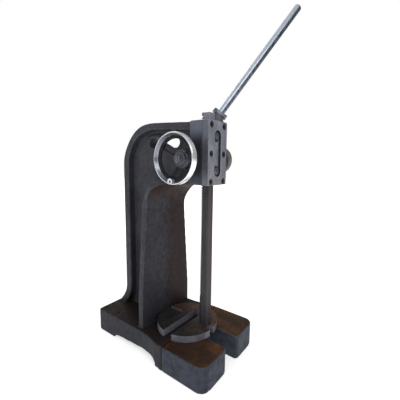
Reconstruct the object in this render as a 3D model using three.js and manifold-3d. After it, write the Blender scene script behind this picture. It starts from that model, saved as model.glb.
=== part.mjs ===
// Deep-throat arbor press: C-shaped cast frame on a forked anvil base, square
// rack ram behind a screwed front cap, quick-return handwheel on the operator's
// left, ratchet lever in an angled socket on the right, loose notched table plate.
// Millimetres, +Z up. The operator stands at -Y and +X is to the operator's right.
// While modelling, Y = 0 is the ram axis; ORIGIN_Y shifts the finished group so
// that the origin is on the underside of the front foot, in the symmetry plane.
import * as THREE from 'three';
import Module from 'manifold-3d';
import { mergeVertices } from 'three/addons/utils/BufferGeometryUtils.js';

const wasm = await Module();
wasm.setup();

// ------------------------------------------------------------ dimensions
const ORIGIN_Y = 80;            // origin lies this far behind the ram axis
const GAP = 0.3;                // running and seating clearance

// base
const BASE_TOP = 107.6;
const BASE_REAR_Y = 540, BASE_FRONT_Y = -141;
const BASE_REAR_HW = 181, BASE_FRONT_HW = 202;
const FORK_HW = 42.2;           // half width of the fork slot
const FORK_END_Y = 42;          // end of the fork slot behind the ram
const HOLE_R = 6.5;             // hold-down holes
const HOLES = [[146, 517], [145, 427]];

// column and arm
const COL_BACK_Y = 470, COL_FRONT_Y = 233;
const WEB_HW = 22, RIM_HW = 60;
const FLANGE_T = 26;
const THROAT_R = 122;
const ARM_UNDER_Z = 766;
const FLANGE_HW_FOOT = 160, FLANGE_HW_TOP = 129;

// head
const HEAD_HW = 67.35, HEAD_TOP = 1021.4, HEAD_REAR_Y = 43.4;
const HEAD_FRONT_Y = -19.2;
const CAP_FRONT_Y = -48.9, CAP_REAR_Y = -19.5;
const SCREW_X = 44.8, SCREW_Z = [1002.6, 891.1, 780.6];
const GIBSCREW_Z = [962, 822];
const CBORE_R = 12.8;

// ram and pinion
const RAM = 38, RAM_BOTTOM = 139.5, RAM_TOP = 1055.4;
const MODULE = 3.6, PINION_N = 14;
const PITCH = Math.PI * MODULE;
const PITCH_R = MODULE * PINION_N / 2;        // 25.2
const ADD = 0.8 * MODULE, DED = 1.15 * MODULE;
const BACKLASH = 1.0;
const PIN_Y = RAM / 2 - ADD + PITCH_R + 0.25; // pinion axis
const PIN_Z = 869.7;
const BORE_R = 30, SHAFT_R = 15;

// handwheel
const WHEEL_R = 99.5, WHEEL_X0 = -172, WHEEL_X1 = -144;
const WHEEL_RING_R = 74;         // inside of the dark ring that carries the spokes
const HUB_R = 36, BOSS_R = 27;
const SPOKES = [38, 158, 278];   // degrees from +Y towards +Z
const SPOKE_HW = 16.5;

// table plate
const PLATE_C = [-11, 93.5], PLATE_R = 137.5, PLATE_Z0 = 108, PLATE_Z1 = 138;

// lever
const HOUSING_R = 61, HOUSING_X0 = 137, HOUSING_X1 = 172;
const COLLAR_AT = new THREE.Vector3(158, 47.9, 1078.8);
const LEVER_DIR = new THREE.Vector3(0.445, -0.39, 0.806).normalize();
const LEVER_R = 16.6, LEVER_LEN = 624, LEVER_IN = 55;

// ------------------------------------------------------------ helpers
function solid(geometry) {
  const g0 = geometry.index ? geometry.toNonIndexed() : geometry.clone();
  g0.deleteAttribute('normal');
  g0.deleteAttribute('uv');
  const g = mergeVertices(g0, 1e-4);
  return new wasm.Manifold(new wasm.Mesh({
    numProp: 3,
    vertProperties: new Float32Array(g.attributes.position.array),
    triVerts: new Uint32Array(g.index.array),
  }));
}
function geometryOf(manifold) {
  const m = manifold.getMesh();
  const g = new THREE.BufferGeometry();
  const pos = new Float32Array(m.numVert * 3);
  for (let i = 0; i < m.numVert; i++) {
    for (let k = 0; k < 3; k++) pos[i * 3 + k] = m.vertProperties[i * m.numProp + k];
  }
  g.setAttribute('position', new THREE.BufferAttribute(pos, 3));
  g.setIndex(new THREE.BufferAttribute(new Uint32Array(m.triVerts), 1));
  g.computeVertexNormals();
  return g;
}
const join = (...s) => s.reduce((a, b) => a.add(b));
const cut = (a, ...s) => s.reduce((p, q) => p.subtract(q), a);

function shapeOf(points, holes = []) {
  const s = new THREE.Shape(points.map(([u, v]) => new THREE.Vector2(u, v)));
  for (const h of holes) s.holes.push(new THREE.Path(h.map(([u, v]) => new THREE.Vector2(u, v))));
  return s;
}
function extrude(points, depth, holes) {
  return new THREE.ExtrudeGeometry(shapeOf(points, holes), { depth, bevelEnabled: false, steps: 1 });
}
// outline in (y, z), from x0 to x1
function prismX(points, x0, x1, holes) {
  const g = extrude(points, x1 - x0, holes);
  g.applyMatrix4(new THREE.Matrix4().set(0, 0, 1, x0, 1, 0, 0, 0, 0, 1, 0, 0, 0, 0, 0, 1));
  return g;
}
// outline in (x, z), from y0 to y1
function prismY(points, y0, y1, holes) {
  const g = extrude(points, y1 - y0, holes);
  g.applyMatrix4(new THREE.Matrix4().set(1, 0, 0, 0, 0, 0, -1, y1, 0, 1, 0, 0, 0, 0, 0, 1));
  return g;
}
// outline in (x, y), from z0 to z1
function prismZ(points, z0, z1, holes) {
  const g = extrude(points, z1 - z0, holes);
  g.translate(0, 0, z0);
  return g;
}
function box(x0, x1, y0, y1, z0, z1) {
  return new THREE.BoxGeometry(x1 - x0, y1 - y0, z1 - z0)
    .translate((x0 + x1) / 2, (y0 + y1) / 2, (z0 + z1) / 2);
}
function cylX(r, x0, x1, y, z, n = 24) {
  return new THREE.CylinderGeometry(r, r, x1 - x0, n).rotateZ(-Math.PI / 2).translate((x0 + x1) / 2, y, z);
}
function cylY(r, y0, y1, x, z, n = 20) {
  return new THREE.CylinderGeometry(r, r, y1 - y0, n).translate(x, (y0 + y1) / 2, z);
}
function cylZ(r, z0, z1, x, y, n = 20) {
  return new THREE.CylinderGeometry(r, r, z1 - z0, n).rotateX(Math.PI / 2).translate(x, y, (z0 + z1) / 2);
}
// cylinder along a direction, from a to b
function cylAlong(r, a, b, n = 24, r2 = r) {
  const d = b.clone().sub(a);
  const g = new THREE.CylinderGeometry(r2, r, d.length(), n);
  g.applyQuaternion(new THREE.Quaternion().setFromUnitVectors(new THREE.Vector3(0, 1, 0), d.clone().normalize()));
  const c = a.clone().add(b).multiplyScalar(0.5);
  return g.translate(c.x, c.y, c.z);
}
// profile of [radius, x] pairs turned about the X axis through (y, z)
function turnX(outline, y, z, n = 24) {
  const closed = outline[0][0] === outline[outline.length - 1][0] && outline[0][1] === outline[outline.length - 1][1];
  let area = 0;
  outline.forEach(([a, b], i) => { const [p, q] = outline[(i + 1) % outline.length]; area += a * q - p * b; });
  const profile = area < 0 ? outline.slice().reverse() : outline;
  if (!closed && profile[0][0] !== 0) throw new Error('profile must start on the axis');
  const g = new THREE.LatheGeometry(profile.map(([r, x]) => new THREE.Vector2(r, x)), n);
  return g.rotateZ(-Math.PI / 2).translate(0, y, z);
}
// closed profile: first point repeated at the end
const ring = (pts) => [...pts, pts[0]];
function arc(cx, cy, r, a0, a1, n) {
  const out = [];
  for (let i = 0; i <= n; i++) {
    const a = (a0 + (a1 - a0) * i / n) * Math.PI / 180;
    out.push([cx + r * Math.cos(a), cy + r * Math.sin(a)]);
  }
  return out;
}
// open polyline made smooth: each stretch gets extra points on a Catmull-Rom curve
function smoothed(pts, from, to, extra = 1) {
  const curve = new THREE.CatmullRomCurve3(pts.map(([a, b]) => new THREE.Vector3(a, b, 0)), false, 'centripetal');
  const out = [];
  pts.forEach((p, i) => {
    out.push(p);
    if (i < from || i >= to) return;
    for (let k = 1; k <= extra; k++) {
      const q = curve.getPoint((i + k / (extra + 1)) / (pts.length - 1));
      out.push([q.x, q.y]);
    }
  });
  return out;
}
function hexagon(cx, cy, af, rot = 0) {
  return arc(cx, cy, af / Math.sqrt(3), rot, rot + 300, 5);
}
function obround(u0, u1, v, r, n = 8) {   // long axis along u
  return [...arc(u1 - r, v, r, -90, 90, n), ...arc(u0 + r, v, r, 90, 270, n)];
}

// ------------------------------------------------------------ materials
const MAT = {
  casting: new THREE.MeshStandardMaterial({ color: 0x3e3f42, roughness: 0.72, metalness: 0.35 }),
  head: new THREE.MeshStandardMaterial({ color: 0x6c6d74, roughness: 0.55, metalness: 0.5 }),
  darkSteel: new THREE.MeshStandardMaterial({ color: 0x4a464a, roughness: 0.42, metalness: 0.85 }),
  polished: new THREE.MeshStandardMaterial({ color: 0xc9cbce, roughness: 0.22, metalness: 1.0 }),
  zinc: new THREE.MeshStandardMaterial({ color: 0xaab2b6, roughness: 0.3, metalness: 0.95 }),
  screw: new THREE.MeshStandardMaterial({ color: 0x202126, roughness: 0.5, metalness: 0.7 }),
  plate: new THREE.MeshStandardMaterial({ color: 0x6e6c72, roughness: 0.5, metalness: 0.7 }),
  bronze: new THREE.MeshStandardMaterial({ color: 0x8d6e3c, roughness: 0.4, metalness: 0.9 }),
};

const press = new THREE.Group();
function add(name, s, material) {
  const mesh = new THREE.Mesh(s.getMesh ? geometryOf(s) : s, material);
  mesh.name = name;
  mesh.position.set(0, -ORIGIN_Y, 0);
  press.add(mesh);
  return mesh;
}

// ------------------------------------------------------------ frame casting
// base plan: narrow rear, wider forked front with rounded corners
const FR = 40, IR = 14;
const basePlan = [
  ...arc(BASE_REAR_HW - 12, BASE_REAR_Y - 12, 12, 90, 0, 3),
  [BASE_REAR_HW, 215], [187, 165], [197, 120], [BASE_FRONT_HW, 84],
  ...arc(BASE_FRONT_HW - FR, BASE_FRONT_Y + FR, FR, 0, -90, 6),
  ...arc(FORK_HW + IR, BASE_FRONT_Y + IR, IR, -90, -180, 3),
].filter((p, i, a) => i === 0 || p[0] !== a[i - 1][0] || p[1] !== a[i - 1][1]);
const forkEnd = arc(0, FORK_END_Y - FORK_HW, FORK_HW, 0, 180, 10);
const planFull = [
  ...basePlan.slice().reverse(),           // from the slot mouth round to the rear, right side
  ...basePlan.map(([x, y]) => [-x, y]),    // rear to the slot mouth, left side
  ...forkEnd.slice().reverse(),            // slot end, left to right
];
let base = solid(prismZ(planFull, 0, BASE_TOP));
const arch = [
  [417, -10], [417, 12], [380, 19.5], [257, 26.5], [201, 28.5], [150, 30],
  [138, 27.5], [128, 20], [121, 9], [116, -10],
];
// joint groove round the front block: across the top and down both sides
const GROOVE_Y0 = 71, GROOVE_Y1 = 76.5;
base = cut(base, solid(prismX(arch, -260, 260)),
  solid(box(-230, 230, GROOVE_Y0, GROOVE_Y1, BASE_TOP - 7, BASE_TOP + 20)),
  solid(box(-230, -BASE_FRONT_HW + 6, GROOVE_Y0, GROOVE_Y1, -20, BASE_TOP + 20)),
  solid(box(BASE_FRONT_HW - 6, 230, GROOVE_Y0, GROOVE_Y1, -20, BASE_TOP + 20)));

// side outline of the column and arm (web), from the front foot round the throat
const outer = [
  [HEAD_REAR_Y - 1, 1017.5], [110, 1021], [165, 1023.5], [213, 1026], [266, 1027.5], [308, 1025],
  [332, 1020], [354, 1012], [372, 1002], [390, 990], [414, 967], [432, 944], [446, 922],
  [457, 900], [465, 877], [469, 850], [COL_BACK_Y, 820], [COL_BACK_Y, 206], [474, 188],
  [483, 168], [497, 146], [514, 126], [533, 108], [533, 98],
];
const throat = [
  [COL_FRONT_Y, 98], ...arc(COL_FRONT_Y - THROAT_R, ARM_UNDER_Z - THROAT_R, THROAT_R, 0, 90, 16),
  [HEAD_REAR_Y - 1, ARM_UNDER_Z],
];
const outerSmooth = smoothed(outer, 4, 15);
const web = solid(prismX([...outerSmooth, ...throat], -WEB_HW, WEB_HW));
const inner = [
  [HEAD_REAR_Y - 1, 984], [110, 989], [165, 993.5], [247, 998], [287, 997], [315, 991], [345, 980],
  [366, 969], [385, 953], [402, 932], [416, 908], [427, 882], [432, 855], [433, 812],
  [431, 230], [436, 190], [448, 158], [466, 130], [485, 112], [492, 98],
];
const rim = solid(prismX([...outerSmooth, ...smoothed(inner, 3, 12).reverse()], -RIM_HW, RIM_HW));
// front flange: flat wall facing the operator, wider at the foot
const flangeFront = [
  [FLANGE_HW_FOOT + 2, 98], [FLANGE_HW_FOOT, 242], [FLANGE_HW_TOP, 660],
  [-FLANGE_HW_TOP, 660], [-FLANGE_HW_FOOT, 242], [-FLANGE_HW_FOOT - 2, 98],
].reverse();
const flange = solid(prismY(flangeFront, COL_FRONT_Y, COL_FRONT_Y + FLANGE_T));
const tc = [COL_FRONT_Y - THROAT_R, ARM_UNDER_Z - THROAT_R];
// plan of the band round the throat: it swells above the flange, then narrows to the head
const bandSide = smoothed([
  [FLANGE_HW_TOP + 1, 300], [FLANGE_HW_TOP + 1, 236], [138, 216], [142, 193], [140, 172], [128, 150], [105, 126], [82, 98], [HEAD_HW + 2, 66],
], 1, 8);
const bandPlan = [...bandSide, [HEAD_HW, 58], [HEAD_HW, 30], [-HEAD_HW, 30], [-HEAD_HW, 58], ...bandSide.map(([x, y]) => [-x, y]).reverse()].reverse();
const THROAT_N = 16;
const BAND_LOW = ARM_UNDER_Z - THROAT_R;
const throatBand = solid(prismX([
  [COL_FRONT_Y, BAND_LOW - 16], ...arc(tc[0], tc[1], THROAT_R, 0, 90, THROAT_N), [HEAD_REAR_Y - 1, ARM_UNDER_Z],
  [HEAD_REAR_Y - 1, ARM_UNDER_Z + FLANGE_T],
  ...arc(tc[0], tc[1], THROAT_R + FLANGE_T, 90, 0, THROAT_N), [COL_FRONT_Y + FLANGE_T, BAND_LOW - 16],
].reverse(), -160, 160)).intersect(solid(prismZ(bandPlan, 600, 830)));
// raised rim round the web window
const windowPad = solid(prismX(obround(118, 331, 942.5, 34.5), -28, 28));
const windowCut = solid(prismX(obround(130, 319, 942.5, 22.5), -60, 60));
const head = solid(prismY([
  [HEAD_HW, ARM_UNDER_Z], [HEAD_HW, HEAD_TOP - 6], [HEAD_HW - 6, HEAD_TOP], [-HEAD_HW + 6, HEAD_TOP],
  [-HEAD_HW, HEAD_TOP - 6], [-HEAD_HW, ARM_UNDER_Z],
].reverse(), HEAD_FRONT_Y, HEAD_REAR_Y));
const bosses = solid(cylX(46, -88, 88, PIN_Y, PIN_Z, 28));
let casting = join(base, web, rim, flange, throatBand, windowPad, head, bosses);
casting = cut(casting, windowCut,
  solid(box(-RAM / 2 - GAP, RAM / 2 + GAP, -40, RAM / 2 + GAP, 740, 1040)),
  solid(cylX(BORE_R, -95, 95, PIN_Y, PIN_Z, 32)));
for (const z of SCREW_Z) for (const s of [-1, 1]) casting = casting.subtract(solid(cylY(6.3, -30, 9, s * SCREW_X, z, 12)));
for (const [x, y] of HOLES) for (const s of [-1, 1]) casting = casting.subtract(solid(cylZ(HOLE_R, -10, 130, s * x, y, 12)));
add('frame_casting', casting, MAT.casting);

// ------------------------------------------------------------ head cap, gib and screws
const r = 8;
let cap = solid(prismY([
  ...arc(HEAD_HW - r, HEAD_TOP - r, r, 0, 90, 3), ...arc(-HEAD_HW + r, HEAD_TOP - r, r, 90, 180, 3),
  ...arc(-HEAD_HW + 3, ARM_UNDER_Z + 3, 3, 180, 270, 2), ...arc(HEAD_HW - 3, ARM_UNDER_Z + 3, 3, 270, 360, 2),
], CAP_FRONT_Y, CAP_REAR_Y));
const recess = [...arc(0, GIBSCREW_Z[0], 22, 0, 180, 10), ...arc(0, GIBSCREW_Z[1], 22, 180, 360, 10)];
cap = cut(cap, solid(prismY(recess, CAP_FRONT_Y - 5, CAP_FRONT_Y + 10)),
  solid(box(-18.3, 18.3, -28, 0, 775, 1012)));
for (const z of GIBSCREW_Z) cap = cap.subtract(solid(cylY(8.3, -60, 0, 0, z, 16)));
for (const z of SCREW_Z) {
  for (const s of [-1, 1]) {
    cap = cut(cap, solid(cylY(CBORE_R, -60, -34, s * SCREW_X, z, 18)), solid(cylY(6.3, -60, 0, s * SCREW_X, z, 12)));
  }
}
add('head_cap', cap, MAT.head);

let n = 0;
for (const z of SCREW_Z) {
  for (const s of [-1, 1]) {
    n += 1;
    const x = s * SCREW_X;
    const screw = cut(join(solid(cylY(11.8, -46.5, -34.3, x, z, 18)), solid(cylY(6, -35, 8, x, z, 12))),
      solid(prismY(hexagon(x, z, 11, 30), -50, -39.5)));
    add(`cap_screw_${n}`, screw, MAT.screw);
  }
}
add('ram_gib', solid(box(-18, 18, -27.6, -19.4, 776, 1011)), MAT.bronze);
['upper', 'lower'].forEach((side, i) => {
  const z = GIBSCREW_Z[i];
  add(`gib_screw_${side}`, cut(solid(cylY(8, -47.5, -27.9, 0, z, 16)),
    solid(box(-10, 10, -50, -44.5, z - 1.2, z + 1.2))), MAT.screw);
  add(`gib_locknut_${side}`, cut(solid(prismY(hexagon(0, z, 28, i ? 10 : -12), -45.8, CAP_FRONT_Y + 10 - GAP)),
    solid(cylY(8.4, -60, 0, 0, z, 16))), MAT.screw);
});

// ------------------------------------------------------------ ram with rack
// the rack is cut in the rear face (+Y); a tooth space faces the pinion axis
const rackLo = 281, rackHi = 1043;
const ramBack = RAM / 2;
const tan20 = Math.tan(20 * Math.PI / 180);
const halfTip = PITCH / 4 - BACKLASH / 4 - ADD * tan20;   // half thickness at the tip
const halfRoot = PITCH / 4 - BACKLASH / 4 + DED * tan20;  // half thickness at the root
const side = [[-RAM / 2, RAM_BOTTOM], [ramBack, RAM_BOTTOM]];
const k0 = Math.ceil((rackLo - PIN_Z) / PITCH), k1 = Math.floor((rackHi - PIN_Z) / PITCH);
for (let k = k0; k <= k1; k++) {                          // k: spaces between teeth
  const z = PIN_Z + k * PITCH;
  const root = PITCH / 2 - halfRoot, tip = PITCH / 2 - halfTip;
  side.push([ramBack, z - tip], [ramBack - ADD - DED, z - root], [ramBack - ADD - DED, z + root], [ramBack, z + tip]);
}
side.push([ramBack, RAM_TOP], [-RAM / 2, RAM_TOP]);
const c = 1.6, h = RAM / 2;
const ramCorners = [[h, -h + c], [h, h - c], [h - c, h], [-h + c, h], [-h, h - c], [-h, -h + c], [-h + c, -h], [h - c, -h]];
let ram = solid(prismX(side, -RAM / 2, RAM / 2)).intersect(solid(prismZ(ramCorners, 100, 1100)));
add('ram_rack', ram, MAT.darkSteel);

// ------------------------------------------------------------ pinion shaft
const baseR = PITCH_R * Math.cos(20 * Math.PI / 180);
const tipR = PITCH_R + ADD, rootR = PITCH_R - DED;
const inv = (rr) => { const a = Math.acos(Math.min(1, baseR / rr)); return Math.tan(a) - a; };
const halfAt = (rr) => (Math.PI / (2 * PINION_N)) - BACKLASH / (4 * PITCH_R) + inv(PITCH_R) - inv(Math.max(rr, baseR));
const flankR = [rootR, baseR, baseR + 0.9, PITCH_R, PITCH_R + 1.4, tipR];
const gear = [];
for (let t = 0; t < PINION_N; t++) {
  const a0 = Math.PI + t * 2 * Math.PI / PINION_N;        // a tooth centred on -Y
  for (const rr of flankR) { const a = a0 - halfAt(rr); gear.push([PIN_Y + rr * Math.cos(a), PIN_Z + rr * Math.sin(a)]); }
  for (const rr of flankR.slice().reverse()) { const a = a0 + halfAt(rr); gear.push([PIN_Y + rr * Math.cos(a), PIN_Z + rr * Math.sin(a)]); }
}
const shaft = join(solid(prismX(gear, -18.8, 18.8)), solid(turnX([
  [0, -148], [8, -148], [9, -147], [9, -129], [12, -128.5], [12, -97], [SHAFT_R, -96.5],
  [SHAFT_R, 159.7], [13, 160], [13, 171.5], [9, 172], [9, 189], [8, 190], [0, 190],
], PIN_Y, PIN_Z, 24)));
add('pinion_shaft', shaft, MAT.darkSteel);

for (const s of [-1, 1]) {
  const p = [[SHAFT_R + GAP, 19.7], [29.7, 19.7], [29.7, 88.3], [36, 88.3], [36, 92], [SHAFT_R + GAP, 92]];
  const pts = s > 0 ? p : p.map(([a, b]) => [a, -b]).reverse();
  add(s < 0 ? 'pinion_bush_left' : 'pinion_bush_right', turnX(ring(pts), PIN_Y, PIN_Z, 28), MAT.bronze);
}
add('ratchet_spacer', turnX(ring([[SHAFT_R + GAP, 92.4], [22, 92.4], [22, 139.1], [SHAFT_R + GAP, 139.1]]), PIN_Y, PIN_Z, 24), MAT.darkSteel);

// ratchet wheel: saw teeth
const RT = 16;
const saw = [];
for (let t = 0; t < RT; t++) {
  const a = t * 2 * Math.PI / RT;
  saw.push([PIN_Y + 44 * Math.cos(a), PIN_Z + 44 * Math.sin(a)], [PIN_Y + 37 * Math.cos(a + 0.02), PIN_Z + 37 * Math.sin(a + 0.02)],
    [PIN_Y + 38.5 * Math.cos(a + 0.17), PIN_Z + 38.5 * Math.sin(a + 0.17)]);
}
add('ratchet_wheel', cut(solid(prismX(saw, 139.5, 157.5)), solid(cylX(SHAFT_R + GAP, 130, 170, PIN_Y, PIN_Z, 24))), MAT.darkSteel);

// ------------------------------------------------------------ handwheel
const wx0 = WHEEL_X0, wx1 = WHEEL_X1, wr = WHEEL_R;
const wheelRim = solid(turnX(ring([
  [wr - 4.5, wx0], [wr - 1.5, wx0 + 2.5], [wr, wx0 + 9], [wr, wx1 - 8], [wr - 1.5, wx1 - 2], [wr - 4.5, wx1], [wr - 8, wx1],
  [wr - 11, wx1 - 4], [WHEEL_RING_R + 1, wx1 - 4], [WHEEL_RING_R, wx1 - 5], [WHEEL_RING_R, wx0 + 15], [WHEEL_RING_R + 1, wx0 + 14],
  [wr - 12.5, wx0 + 14], [wr - 6, wx0 + 0.6],
].reverse()), PIN_Y, PIN_Z, 60));
const wheelHub = solid(turnX([
  [0, -131.5], [BOSS_R - 2, -131.5], [BOSS_R, -129.5], [BOSS_R, -122], [HUB_R - 2, -122], [HUB_R, -120], [HUB_R, -108], [30, -99], [0, -99],
], PIN_Y, PIN_Z, 30));
let wheel = join(wheelRim, wheelHub);
for (const deg of SPOKES) {
  // channel-section spoke, open towards the operator's side, dished from the hub out to the ring
  const channel = [[-SPOKE_HW, 6], [-SPOKE_HW, -6], [-SPOKE_HW + 5, -6], [-SPOKE_HW + 6, 1], [SPOKE_HW - 6, 1], [SPOKE_HW - 5, -6], [SPOKE_HW, -6], [SPOKE_HW, 6]];
  const spoke = prismZ(channel, 0, 1);           // section in (across, depth), length along z
  const p = spoke.attributes.position;
  for (let i = 0; i < p.count; i++) {
    const across = p.getX(i), depth = p.getY(i), t = p.getZ(i);
    p.setXYZ(i, -114 - t * 38 + depth, 27 + t * 51, across);
  }
  spoke.rotateX(deg * Math.PI / 180).translate(0, PIN_Y, PIN_Z);
  wheel = wheel.add(solid(spoke));
}
const lugA = -83 * Math.PI / 180;
const lug = [PIN_Y + 86.5 * Math.cos(lugA), PIN_Z + 86.5 * Math.sin(lugA)];
wheel = wheel.add(solid(cylX(12, wx0 - 1.5, wx1 - 1, lug[0], lug[1], 20)));
wheel = cut(wheel, solid(cylX(4.6, wx0 - 10, wx1 + 10, lug[0], lug[1], 12)), solid(cylX(12 + GAP, -140, -90, PIN_Y, PIN_Z, 20)));
add('handwheel', wheel, MAT.polished);
add('handwheel_washer', turnX(ring([[9 + GAP, -134.8], [9 + GAP, -131.8], [17, -131.8], [17, -134.8]]), PIN_Y, PIN_Z, 20), MAT.zinc);
add('handwheel_nut', cut(solid(prismX(hexagon(PIN_Y, PIN_Z, 26, 20), -146, -135.1)), solid(cylX(9 + GAP, -160, -130, PIN_Y, PIN_Z, 20))), MAT.zinc);

// ------------------------------------------------------------ lever
const U = LEVER_DIR;
const along = (d) => COLLAR_AT.clone().addScaledVector(U, d);
const hx0 = HOUSING_X0, hx1 = HOUSING_X1;
const disc = solid(turnX([[0, hx0], [HOUSING_R - 3, hx0], [HOUSING_R, hx0 + 3], [HOUSING_R, hx1 - 5], [HOUSING_R - 5, hx1], [0, hx1]], PIN_Y, PIN_Z, 36));
const arm = solid(prismX([
  [PIN_Y - 30, PIN_Z + 30], [PIN_Y + 30, PIN_Z + 30], [PIN_Y + 24, 960], [PIN_Y + 26, 1020], [PIN_Y + 30, 1048],
  [PIN_Y + 4, 1066], [PIN_Y - 14, 1040], [PIN_Y - 16, 1010], [PIN_Y - 22, 960],
], 141, 169));
const socket = solid(cylAlong(25, along(-64), along(-8.3), 24));
let housing = join(disc, arm, socket);
housing = housing.add(solid(cylY(15, PIN_Y + 40, PIN_Y + 96, 148.5, PIN_Z, 20)));
housing = cut(housing,
  solid(turnX([[0, 120], [49, 120], [49, 160.2], [0, 160.2]], PIN_Y, PIN_Z, 32)),
  solid(cylX(13 + GAP, 150, 180, PIN_Y, PIN_Z, 20)),
  solid(cylY(8 + GAP, PIN_Y + 30, PIN_Y + 110, 148.5, PIN_Z, 16)),
  solid(cylAlong(LEVER_R + GAP, along(-LEVER_IN - GAP), along(0), 24)),
  solid(cylAlong(70, along(-8.3), along(80), 24)));
// oblong collar across the socket mouth, square to the lever
const eLong = new THREE.Vector3(0.449, -0.739, -0.507);
eLong.addScaledVector(U, -eLong.dot(U)).normalize();
const eSide = new THREE.Vector3().crossVectors(U, eLong);
const collarFrame = new THREE.Matrix4().makeBasis(eLong, eSide, U).setPosition(COLLAR_AT);
const inCollar = (g) => { g.applyMatrix4(collarFrame); return g; };
let collar = solid(inCollar(extrudeZ(obround(-35, 35, 0, 24, 8), -8, 7)));
function extrudeZ(points, z0, z1) { return prismZ(points, z0, z1); }
collar = cut(collar, solid(inCollar(cylZ(LEVER_R + GAP, -20, 20, 0, 0, 24))));
for (const s of [-1, 1]) {
  const hole = (rad, a, b) => inCollar(cylZ(rad, a, b, s * 26.5, 0, 12));
  collar = collar.subtract(solid(hole(4.3, -20, 20)));
  housing = housing.subtract(solid(hole(4.3, -26, 0)));
  const bolt = cut(join(solid(hole(7, 7.3, 13)), solid(hole(4, -7.5, 8))), solid(inCollar(prismZ(hexagon(s * 26.5, 0, 6), 10, 20))));
  add(`collar_bolt_${s < 0 ? 'rear' : 'front'}`, bolt, MAT.screw);
}
add('socket_collar', collar, MAT.darkSteel);
// set screw that grips the lever in its socket
const sA = along(-34).addScaledVector(eSide, 17.6), sB = along(-34).addScaledVector(eSide, 34);
housing = housing.subtract(solid(cylAlong(5.3, along(-34).addScaledVector(eSide, 14), along(-34).addScaledVector(eSide, 40), 12)));
add('lever_set_screw', cylAlong(5, sA, sB, 12), MAT.screw);
add('lever_housing', housing, MAT.casting);
add('lever_bar', join(solid(cylAlong(LEVER_R, along(-LEVER_IN), along(LEVER_LEN - 2.5), 28)),
  solid(cylAlong(LEVER_R, along(LEVER_LEN - 2.5), along(LEVER_LEN), 28, LEVER_R - 2.5))), MAT.zinc);
add('lever_washer', turnX(ring([[9 + GAP, 172.4], [24, 172.4], [24, 175.4], [9 + GAP, 175.4]]), PIN_Y, PIN_Z, 24), MAT.zinc);
add('lever_nut', cut(solid(prismX(hexagon(PIN_Y, PIN_Z, 27, 10), 175.8, 187)), solid(cylX(9 + GAP, 170, 195, PIN_Y, PIN_Z, 20))), MAT.zinc);

// spring-loaded pawl plunger with a pull knob, on the rear of the housing
const pawl = join(solid(cylY(8, PIN_Y + 45.5, PIN_Y + 104, 148.5, PIN_Z, 16)), solid(cylY(14, PIN_Y + 97, PIN_Y + 116, 148.5, PIN_Z, 20)));
add('pawl_plunger', pawl, MAT.zinc);

// ------------------------------------------------------------ table plate
const disk = arc(PLATE_C[0], PLATE_C[1], PLATE_R, 0, 360 - 5, 71);
let plate = solid(prismZ(disk, PLATE_Z0, PLATE_Z1));
const slotZ = (x0, x1, y0, y1) => solid(box(x0, x1, y0, y1, 90, 160));
const channel = solid(box(-200, 74, 66.5, 110.5, 90, 160).translate(11, -88.5, 0)
  .rotateZ(-2 * Math.PI / 180).translate(-11, 88.5, 0));
plate = cut(plate, channel,
  slotZ(-23, 3, -80, 6), solid(cylZ(13, 90, 160, -10, 6, 20)),
  slotZ(8, 23, 155, 260), solid(cylZ(7.5, 90, 160, 15.5, 155, 16)));
add('table_plate', plate, MAT.plate);

export default press;
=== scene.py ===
import math
import bpy
import bmesh
import numpy as np
from mathutils import Vector, Matrix, noise


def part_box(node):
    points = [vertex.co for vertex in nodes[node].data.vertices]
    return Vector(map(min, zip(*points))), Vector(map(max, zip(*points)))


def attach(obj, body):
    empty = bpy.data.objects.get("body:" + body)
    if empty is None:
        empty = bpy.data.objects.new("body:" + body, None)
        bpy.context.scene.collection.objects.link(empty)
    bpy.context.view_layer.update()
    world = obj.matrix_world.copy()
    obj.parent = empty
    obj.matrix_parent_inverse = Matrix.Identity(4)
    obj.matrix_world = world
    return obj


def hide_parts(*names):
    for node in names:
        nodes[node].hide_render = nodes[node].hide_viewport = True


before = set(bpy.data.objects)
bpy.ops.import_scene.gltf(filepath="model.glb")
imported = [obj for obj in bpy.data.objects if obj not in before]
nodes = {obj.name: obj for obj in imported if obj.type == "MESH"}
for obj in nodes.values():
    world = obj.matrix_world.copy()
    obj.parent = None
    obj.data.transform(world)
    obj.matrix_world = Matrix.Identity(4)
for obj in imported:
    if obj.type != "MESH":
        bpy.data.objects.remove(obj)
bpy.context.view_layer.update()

scene = bpy.context.scene

# Everything below is written in millimetres with Y measured from the ram axis;
# P() turns that into the row frame (metres, origin 80 mm in front of the ram).
OY = 80.0
PIN_Y, PIN_Z = 41.57, 869.7


def P(x, y, z):
    return Vector((x / 1000.0, (y - OY) / 1000.0, z / 1000.0))


# ------------------------------------------------------------------ mesh helpers
def link(name, me):
    o = bpy.data.objects.new(name, me)
    scene.collection.objects.link(o)
    return o


def mesh_object(name, verts, faces):
    me = bpy.data.meshes.new(name)
    me.from_pydata([tuple(v) for v in verts], [], faces)
    me.validate()
    bm = bmesh.new()
    bm.from_mesh(me)
    bmesh.ops.recalc_face_normals(bm, faces=bm.faces)
    bm.to_mesh(me)
    bm.free()
    return link(name, me)


def arc(cx, cy, r, a0, a1, n):
    return [(cx + r * math.cos(math.radians(a0 + (a1 - a0) * i / n)),
             cy + r * math.sin(math.radians(a0 + (a1 - a0) * i / n))) for i in range(n + 1)]


def obround(u0, u1, v, r, n=20):
    return arc(u1 - r, v, r, -90, 90, n) + arc(u0 + r, v, r, 90, 270, n)


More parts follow.
